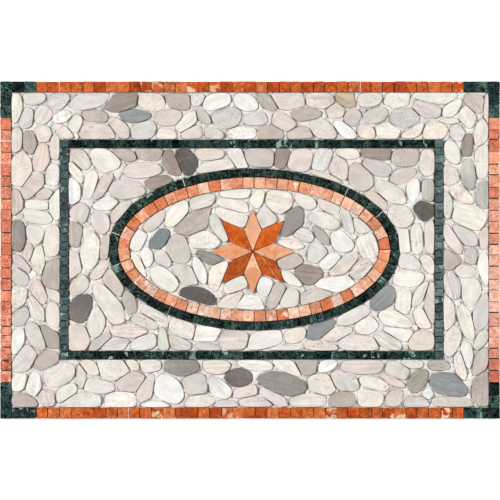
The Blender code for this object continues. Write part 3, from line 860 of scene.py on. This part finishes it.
def add_tiles(
    node, corners, seen, traits, random, finish, slot, rounding=TILE_ROUNDING, paler=0.0, ending="_tiles",
):
    """A node's tiles, standing on the bed: straight sides, a worn edge, and a top that rocks a little.

    paler is how far each tile's colour is moved towards the palest pink.
    """
    count = len(corners)
    outlines = np.clip(cut_outlines(corners, random, rounding), PANEL_LOW, PANEL_HIGH)
    middles = corners.mean(axis=1)
    palette = np.array([linear(*colour) for colour in seen])
    colours = varied(palette[random.integers(0, len(palette), count)], random, 0.07, 0.02)
    colours += (linear(*PALEST_PINK) - colours) * np.reshape(paler, (-1, 1))
    top = rocking_tops(outlines, middles, random, 0.008, 0.0, 0.0004)
    worn = random.uniform(0.0003, 0.0006, (count, 1)) * min(rounding / TILE_ROUNDING, 1.0)
    places = ring_places(outlines, ((0.0002, BED), (0.0, top - worn), (worn * 0.8, top)))
    turn = random.integers(0, 4, count) * TAU / 4 + random.normal(0.0, 0.2, count)
    add_solids(
        node + ending, places, finish, slot, [node],
        grain=grain_of(places, middles, turn, random),
        tone=slanted(colours, places, middles, random, 0.12), traits=spread(traits, places),
    )


def joint_widths(joint, count, random):
    """Joints from narrow to wide: two in five near the narrow end, the rest near the wide one."""
    narrow = random.random(count) < 0.4
    share = np.where(narrow, random.uniform(0.0, 0.3, count), random.uniform(0.6, 1.0, count))
    return joint[0] + (joint[1] - joint[0]) * share


def run_of_tiles(low, high, along, count, random, joint, edge, shake=0.0006):
    """Corners (tile, 4, 2) of tiles side by side in a rectangle, along X (0) or Y (1).

    The cuts are evenly spaced and each is moved a little; half a joint is taken off to each side of it.
    The sides are drawn in by up to an edge's length.
    """
    cuts = np.linspace(low[along], high[along], count + 1)
    cuts[1:-1] += random.normal(0.0, shake, count - 1)
    joints = np.concatenate([[END_JOINT], joint_widths(joint, count - 1, random), [END_JOINT]])
    start = cuts[:-1] + joints[:-1] / 2
    end = cuts[1:] - joints[1:] / 2
    across = 1 - along
    near = low[across] + random.uniform(0.0, edge, count)
    far = high[across] - random.uniform(0.0, edge, count)
    sides = [np.stack(pair, axis=1) for pair in ((start, near), (end, near), (end, far), (start, far))]
    corners = np.stack(sides, axis=1)
    corners += random.uniform(-CORNER_STRAY, CORNER_STRAY, corners.shape)
    order = [along, across]
    corners = np.clip(corners, low[order] + HAIR, high[order] - HAIR)
    if along == 1:
        corners = corners[:, ::-1, ::-1]
    return corners


def filled_joints(corners, share, random):
    """Corners (joint, 4, 2) of this share of the joints between tiles that follow one another.

    A tile's corners 0 and 3 lie at its start, and 1 and 2 at its end, so a joint lies between one tile's
    corners 1 and 2 and the next one's 0 and 3.
    """
    chosen = np.flatnonzero(random.random(len(corners) - 1) < share)
    here, there = corners[chosen], corners[chosen + 1]
    return np.stack([here[:, 1], there[:, 0], there[:, 3], here[:, 2]], axis=1)


def add_borders(rust, coral, fills):
    """The outer courses of orange tiles; the right one is palest a third of the way up.

    Each row gives a course's node, its direction (0 along X, 1 along Y), stone, colours, the most of each
    trait, and the share of its joints that is filled.
    """
    courses = (
        ("border_top", 0, rust, RUST_TILES, (0.9, 0.12, 0.9), 0.05),
        ("border_bottom", 0, rust, RUST_TILES, (0.8, 0.20, 0.9), 0.03),
        ("border_left", 1, coral, CORAL_TILES, (1.2, 0.10, 0.9), 0.12),
        ("border_right", 1, coral, PINK_TILES, (0.8, 0.16, 0.8), 0.10),
    )
    for seed, (node, along, finish, seen, most, filled) in enumerate(courses):
        random = np.random.default_rng(40 + seed)
        low, high = flat_box(node)
        count = round((high - low)[along] / BORDER_PITCH)
        shake = 0.0016 if along else 0.0007
        joint = (0.0006, 0.0022) if along else (0.0003, 0.0013)
        corners = run_of_tiles(low, high, along, count, random, joint, 0.0006, shake)
        fills.append(filled_joints(corners, filled, random))
        traits = tile_traits(count, random, *most)
        run = (np.arange(count) + 0.5) / count
        paler = 0.48 * np.exp(-((run - 0.36) / 0.20) ** 2) if node == "border_right" else 0.0
        add_tiles(node, corners, seen, traits, random, finish, "orange_tile", paler=paler)


def add_corners(green):
    """An L of tiles at each corner: three along X, and two more along Y."""
    joint, edge = (0.0003, 0.0010), 0.0004
    nodes = [f"corner_{side}_{end}" for side in ("top", "bottom") for end in ("left", "right")]
    for seed, node in enumerate(nodes):
        random = np.random.default_rng(50 + seed)
        low, high = flat_box(node)
        row_low, row_high = low.copy(), high.copy()
        leg_low, leg_high = low.copy(), high.copy()
        if "top" in node:
            row_low[1] = leg_high[1] = high[1] - BORDER_TILE
        else:
            row_high[1] = leg_low[1] = low[1] + BORDER_TILE
        if "left" in node:
            leg_high[0] = low[0] + BORDER_TILE
        else:
            leg_low[0] = high[0] - BORDER_TILE
        row = run_of_tiles(row_low, row_high, 0, CORNER_TILES, random, joint, edge)
        leg = run_of_tiles(leg_low, leg_high, 1, CORNER_TILES - 1, random, joint, edge)
        corners = np.concatenate([row, leg])
        traits = tile_traits(len(corners), random, 0.5, 0.2, 0.8)
        add_tiles(node, corners, CORNER_GREEN_TILES, traits, random, green, "green_tile")


def add_frame(green, slate):
    """The inner rectangle of green tiles, in rows of node, direction, stone, colours, joints and traits."""
    courses = (
        ("frame_top", 0, green, BLACK_GREEN_TILES, (0.0001, 0.0006), (0.8, 0.16, 1.0)),
        ("frame_bottom", 0, green, BLACK_GREEN_TILES, (0.0001, 0.0006), (1.0, 0.24, 1.0)),
        ("frame_left", 1, slate, SLATE_TILES, (0.0008, 0.0018), (0.8, 0.30, 0.8)),
        ("frame_right", 1, slate, GREY_GREEN_TILES, (0.0008, 0.0018), (0.8, 0.24, 0.8)),
    )
    for seed, (node, along, finish, seen, joint, most) in enumerate(courses):
        random = np.random.default_rng(60 + seed)
        low, high = flat_box(node)
        count = round((high - low)[along] / GREEN_PITCH)
        corners = run_of_tiles(low, high, along, count, random, joint, 0.0005)
        traits = tile_traits(count, random, *most)
        add_tiles(node, corners, seen, traits, random, finish, "green_tile", rounding=0.0009)


def oval_line(half, depth, angle):
    """Points this deep inside an oval, square to its edge: h (cos t, sin t) less depth times the normal."""
    direction = np.stack([np.cos(angle), np.sin(angle)], axis=-1)
    return half * direction - depth * unit(direction / half)


def oval_tiles(centre, half, depth, width, pitch, random, joint, edge):
    """Corners (tile, 4, 2) of an oval course.

    The joints are evenly spaced by length along the course's middle, and each is moved a little, but not
    the four at the quarters' ends.
    """
    fine = np.linspace(0.0, TAU, 7201)
    steps = np.linalg.norm(np.diff(oval_line(half, depth + width / 2, fine), axis=0), axis=1)
    travelled = np.concatenate([[0.0], np.cumsum(steps)])
    count = 4 * round(travelled[-1] / pitch / 4)
    cut = travelled[-1] * np.arange(count) / count
    cut += random.normal(0.0, 0.0003, count) * (np.arange(count) % (count // 4) > 0)
    gap = joint_widths(joint, count, random)
    start = np.interp(cut + gap / 2, travelled, fine)
    end = np.interp(np.append(cut[1:], travelled[-1] + cut[0]) - np.roll(gap, -1) / 2, travelled, fine)
    near = depth + width - random.uniform(0.0, edge, count)
    far = depth + random.uniform(0.0, edge, count)
    sides = ((near, start), (far, start), (far, end), (near, end))
    corners = np.stack([oval_line(half, deep[:, None], angle) for deep, angle in sides], axis=1)
    return centre + np.roll(corners, -1, axis=1)


def add_ovals(green, orange, fills):
    """The oval of green tiles and the course of orange ones inside it, each in four quarters.

    Each row gives a course's name, how deep inside the oval it starts, its width and pitch, colours, stone,
    slot, its joints, the most of each trait, and the share of its joints that is filled.
    """
    centre, half = oval_of()
    courses = (
        (
            "oval_green", 0.0, GREEN_TILE, GREEN_PITCH, OVAL_GREEN_TILES, green, "green_tile",
            (0.0003, 0.0012), (1.0, 0.16, 1.0), 0.07,
        ),
        (
            "oval_orange", GREEN_TILE + OVAL_JOINT, OVAL_TILE, OVAL_PITCH, OVAL_TILES, orange,
            "pale_orange_tile", (0.0004, 0.0015), (1.1, 0.22, 1.0), 0.22,
        ),
    )
    for seed, (name, depth, width, pitch, seen, finish, slot, joint, most, filled) in enumerate(courses):
        random = np.random.default_rng(70 + seed)
        corners = oval_tiles(centre, half, depth, width, pitch, random, joint, 0.0005)
        fills.append(filled_joints(corners, filled, random))
        for quarter, own in enumerate(np.split(corners, 4), start=1):
            traits = tile_traits(len(own), random, *most)
            add_tiles(f"{name}_{quarter}", own, seen, traits, random, finish, slot)


def add_star(pale, deep, banded, seamed):
    """Eight cut points, from the right one on anticlockwise, each with its own colour and markings."""
    peach, salmon, rose, cream = (242, 180, 142), (235, 165, 122), (229, 166, 127), (214, 147, 106)
    rust, dull_rust = (211, 98, 20), (192, 90, 24)
    cuts = (
        (rose, pale, (0.5, 0.25, 1.0)),
        (rust, deep, (0.5, 0.0, 0.8)),
        (peach, pale, (0.05, 0.0, 0.35)),
        (rust, deep, (0.4, 0.0, 1.0)),
        (salmon, pale, (0.35, 0.0, 0.8)),
        (dull_rust, deep, (1.0, 0.0, 1.0)),
        (cream, banded, (0.15, 0.9, 0.4)),
        (dull_rust, seamed, (1.0, 0.75, 1.0)),
    )
    for k, (seen, finish, traits) in enumerate(cuts, start=1):
        node = f"star_point_{k}"
        slot = "star_pale" if k % 2 else "star_deep"
        corners = np.array(cad_outlines(node))
        random = np.random.default_rng(80 + k)
        traits = np.array([traits])
        add_tiles(node, corners, [seen], traits, random, finish, slot, rounding=0.0002, ending="_cut")


# Adhesive and net

def add_filled_joints(fills, finish):
    """Thin walls of adhesive in the joints that were filled, their tops a little below the tiles'."""
    random = np.random.default_rng(92)
    outlines = np.concatenate(fills)
    top = FACE - random.uniform(0.0004, 0.0012, (len(outlines), 1))
    places = ring_places(outlines, ((0.0, BED), (0.0, top)))
    add_piece("joint_adhesive", places, ring_faces(places)[0], finish, "net", [], 0)


def ripple(x, y, wavelength, random, waves=9):
    """Smooth uneven heights from about -1 to 1.

    They are the sum of plane waves in many directions and of about one length, each the sine of a full
    turn per length along its direction, plus a phase.
    """
    angles, phases = random.uniform(0, TAU, waves), random.uniform(0, TAU, waves)
    total = np.zeros(np.broadcast(x, y).shape)
    for angle, phase, stretch in zip(angles, phases, random.uniform(0.8, 1.25, waves)):
        total += np.sin(TAU / (wavelength * stretch) * (x * np.cos(angle) + y * np.sin(angle)) + phase)
    return total / math.sqrt(waves)


def inset_of(x, y, low, high):
    """How far inside a rectangle points are, from its nearest side."""
    return np.minimum(np.minimum(x - low[0], high[0] - x), np.minimum(y - low[1], high[1] - y))


def course_distance(x, y):
    """How far a point is from the nearest tile course, 0 on one.

    Its depth inside the oval is (1 - r) / s, where r is its distance from the centre measured in half axes
    and s is how steeply r grows there.
    """
    border = inset_of(x, y, PANEL_LOW, PANEL_HIGH) - BORDER_TILE
    inset = inset_of(x, y, flat_box("frame_left")[0], flat_box("frame_right")[1])
    rectangle = np.abs(inset - GREEN_TILE / 2) - GREEN_TILE / 2
    centre, half = oval_of()
    across = np.hypot((x - centre[0]) / half[0], (y - centre[1]) / half[1])
    slope = np.hypot((x - centre[0]) / half[0] ** 2, (y - centre[1]) / half[1] ** 2)
    depth = (1 - across) / np.maximum(slope / np.maximum(across, 1e-6), 1e-6)
    width = GREEN_TILE + OVAL_JOINT + OVAL_TILE
    oval = np.abs(depth - width / 2) - width / 2
    return np.maximum(np.min([border, rectangle, oval], axis=0), 0.0)


def add_adhesive(outlines, middles, finish):
    """The bed between the stones: low under the tiles and in narrow gaps, welling up in the wide ones.

    Its height grows with the room to the nearest stone, up to a full gap, and has a wide and a fine ripple.
    It is as low as the film under the tile courses and at the star's centre, and darkened there as soil and
    painted shade.
    """
    random = np.random.default_rng(91)
    low, high = PANEL_LOW + ADHESIVE_INSET, PANEL_HIGH - ADHESIVE_INSET
    steps = [round(length / ADHESIVE_GRID) + 1 for length in high - low]
    x, y = (np.linspace(low[axis], high[axis], steps[axis]) for axis in (0, 1))
    gx, gy = np.meshgrid(x, y)
    course = np.clip(course_distance(gx, gy) / COURSE_EDGE, 0.0, 1.0)
    gap = np.clip(room_left(outlines, middles, x, y) / FULL_GAP, 0.0, 1.0)
    welling = NARROW_WELLING + GAP_RISE * gap
    welling += 0.0024 * ripple(gx, gy, 0.034, random) + 0.0008 * ripple(gx, gy, 0.011, random)
    centre = star_centre()
    course *= np.clip(np.hypot(gx - centre[0], gy - centre[1]) / STAR_EDGE - 0.6, 0.0, 1.0)
    top = BED + course * np.clip(welling, LEAST_WELLING, MOST_WELLING)
    bottom = NET_THICKNESS - NET_SINK + 0.00012 * ripple(gx, gy, 0.016, random)
    places, faces = sheet(x, y, bottom, top)
    # Soil and painted shade on the top under the tile courses, none on the underside.
    soil = np.concatenate([0.9 * (1 - course).reshape(-1), np.zeros(course.size)])
    soil = np.repeat(soil[:, None], 3, axis=1)
    add_piece("adhesive_bed", places, faces, finish, "net", ["net_backing"], soil=soil)


def strands(along, count, steps, low, high, level, random):
    """Points, faces and grain of flat strands side by side along X (0) or Y (1).

    Each is a lozenge of four points carried along a line and closed at its ends. The line wavers by
    0.25 mm times a sine of the way along it, and the lozenge's width by 15 % times a faster one.
    """
    across = 1 - along
    place = np.linspace(low[across] + 0.0012, high[across] - 0.0012, count)[:, None]
    t = np.linspace(low[along], high[along], steps)[None, :]
    phase = random.uniform(0, TAU, (count, 1))
    line = place + 0.00025 * np.sin(TAU * t / 0.11 + phase)
    width = STRAND_HALF_WIDTH * (1 + 0.15 * np.sin(TAU * t / 0.037 + 2 * phase))
    shape = np.array([(-1.0, 0.0), (0.0, -0.5), (1.0, 0.0), (0.0, 0.5)])
    side = line[..., None] + width[..., None] * shape[:, 0]
    height = np.broadcast_to(level + STRAND_THICKNESS * shape[:, 1], side.shape)
    run = np.broadcast_to(t[..., None], side.shape)
    places = np.stack([side, run, height] if along else [run, side, height], axis=3)
    grain = np.stack([run, side - line[..., None] + 7 * place[..., None], height], axis=3)
    here = np.arange(side.size).reshape(side.shape)
    there = np.roll(here, -1, axis=2)
    quads = np.stack([here[:, :-1], here[:, 1:], there[:, 1:], there[:, :-1]], axis=3).reshape(-1, 4)
    faces = np.concatenate([quads, here[:, 0], here[:, -1, ::-1]])
    if along == 0:
        faces = faces[:, ::-1]
    return places.reshape(-1, 3), faces, grain.reshape(-1, 3)


def add_net(finish):
    """The net under the bed: strands along X lowest, strands along Y laid over them."""
    random = np.random.default_rng(95)
    low, high = PANEL_LOW + NET_INSET, PANEL_HIGH - NET_INSET
    wide, tall = (round(length / NET_PITCH) for length in high - low)
    lower = strands(0, tall, 37, low, high, STRAND_LEVELS[0], random)
    upper = strands(1, wide, 25, low, high, STRAND_LEVELS[1], random)
    places = np.concatenate([lower[0], upper[0]])
    faces = np.concatenate([lower[1], upper[1] + len(lower[0])]).tolist()
    grain = np.concatenate([lower[2], upper[2]])
    add_piece("glass_net", places, faces, finish, "net", ["net_backing"], grain=grain)


# Studio

def add_floor():
    """A wide pale floor under the panel."""
    place = (0.0, 0.0, -0.0004)
    bpy.ops.mesh.primitive_circle_add(vertices=96, radius=14.0, fill_type="NGON", location=place)
    floor = bpy.context.object
    floor.name = "studio_floor"
    finish = Finish("studio_white", 0.9, 0.1)
    finish.shader.inputs["Base Color"].default_value = (0.70, 0.70, 0.70, 1.0)
    finish.shader.inputs["Emission Color"].default_value = (1.0, 1.0, 1.0, 1.0)
    finish.shader.inputs["Emission Strength"].default_value = 0.50
    floor.data.materials.append(finish.material)


def add_light(name, kind, place, energy, **settings):
    """A light aimed at the panel's middle."""
    data = bpy.data.lights.new(name, kind)
    data.energy = energy
    for key, value in settings.items():
        setattr(data, key, value)
    light = new_object(name, data)
    light.location = place
    light.rotation_euler = (-light.location).to_track_quat("-Z", "Y").to_euler()


def add_studio():
    """Soft air that is brightest at the horizon, a softbox to each side, and window light.

    The window light slants in from the left, so that every gap has its shadow on the same side.
    """
    world = bpy.data.worlds.new("studio_air")
    world.use_nodes = True
    tree = world.node_tree
    way = new_node(tree, "ShaderNodeTexCoord", {}).outputs["Generated"]
    height = new_node(tree, "ShaderNodeSeparateXYZ", {"Vector": way}).outputs["Z"]
    inputs = {"Value": height, "From Min": 0.05, "From Max": 0.45, "To Min": 1.0, "To Max": 0.28}
    fade = new_node(tree, "ShaderNodeMapRange", inputs, interpolation_type="SMOOTHSTEP")
    background = tree.nodes["Background"]
    background.inputs["Color"].default_value = (1.0, 1.0, 1.0, 1.0)
    tree.links.new(fade.outputs["Result"], background.inputs["Strength"])
    bpy.context.scene.world = world
    for side, x in (("left", -1.9), ("right", 1.9)):
        add_light(f"softbox_{side}", "AREA", (x, 0.2, 1.95), 36, shape="RECTANGLE", size=0.8, size_y=1.3)
    add_light("window_light", "SUN", (-1.5, 0.5, 1.4), 2.2, angle=math.radians(14))


def add_camera():
    """Straight above the panel, far enough for an almost parallel view."""
    data = bpy.data.cameras.new("camera_above")
    data.sensor_width = 36.0
    data.lens = data.sensor_width * CAMERA_HEIGHT / VIEW_WIDTH
    data.clip_end = 50.0
    camera = new_object("camera_above", data)
    camera.location = (0.0, 0.0, FACE + CAMERA_HEIGHT)
    bpy.context.scene.camera = camera
    bpy.context.scene.view_settings.view_transform = "Standard"


def main():
    """The finishes, then the pieces from the net up, then the studio."""
    pebble = river_pebble()
    rust = marble(
        "rust_marble", shade=(0.70, 0.50, 0.36), vein=(104, 40, 22), pale=(240, 204, 168),
        pale_from=0.50, vein_width=0.022, roughness=0.5, dim=0.66, rise=1.42, specular=0.10,
    )
    coral = marble(
        "coral_marble", shade=(0.80, 0.62, 0.52), vein=(112, 54, 40), pale=(246, 206, 184),
        pale_from=0.58, vein_width=0.032, roughness=0.5, dim=0.80, rise=1.26, specular=0.15,
    )
    peach = marble(
        "peach_marble", shade=(0.88, 0.64, 0.46), vein=(146, 74, 50), pale=(246, 226, 208),
        pale_from=0.58, vein_width=0.020, roughness=0.5, dim=0.82, rise=1.24,
    )
    green = marble(
        "green_marble", shade=(0.26, 0.32, 0.34), vein=(112, 144, 130), pale=(142, 172, 160),
        pale_from=0.57, vein_width=0.020, roughness=0.50, dim=0.0, rise=3.6, specular=0.0,
    )
    slate = marble(
        "slate_marble", shade=(0.66, 0.76, 0.78), vein=(132, 156, 154), pale=(158, 184, 180),
        pale_from=0.56, vein_width=0.014, roughness=0.46, dim=0.55, rise=1.55, specular=0.05,
    )
    peach_point = dict(
        shade=(0.94, 0.74, 0.54), vein=(196, 116, 80), pale=(250, 208, 170),
        pale_from=0.55, vein_width=0.012, roughness=0.45, dim=0.93, rise=1.06,
    )
    rust_point = dict(
        shade=(0.78, 0.62, 0.52), vein=(132, 52, 26), pale=(240, 196, 160),
        pale_from=0.70, vein_width=0.018, roughness=0.45, dim=0.76, rise=1.20, specular=0.15,
    )
    star_pale = marble("star_peach_marble", **peach_point)
    star_deep = marble("star_rust_marble", **rust_point)
    star_banded = marble("star_banded_marble", **peach_point, mark=arched_band)
    star_seamed = marble("star_seamed_marble", **rust_point, mark=straight_seam)
    add_net(glass_net())
    stones, middles = add_pebbles(sorted(node for node in NODES if node.startswith("pebbles")), pebble)
    points = [cad_outlines(f"star_point_{k}")[0] for k in range(1, 9)]
    solids, centres = [*stones, *points], [*middles, *(corners.mean(axis=0) for corners in points)]
    add_chips(solids, centres, pebble)
    adhesive = pale_adhesive()
    add_adhesive(solids, centres, adhesive)
    fills = []
    add_borders(rust, coral, fills)
    add_corners(green)
    add_frame(green, slate)
    add_ovals(green, peach, fills)
    add_filled_joints(fills, adhesive)
    add_star(star_pale, star_deep, star_banded, star_seamed)
    add_floor()
    add_studio()
    add_camera()


main()
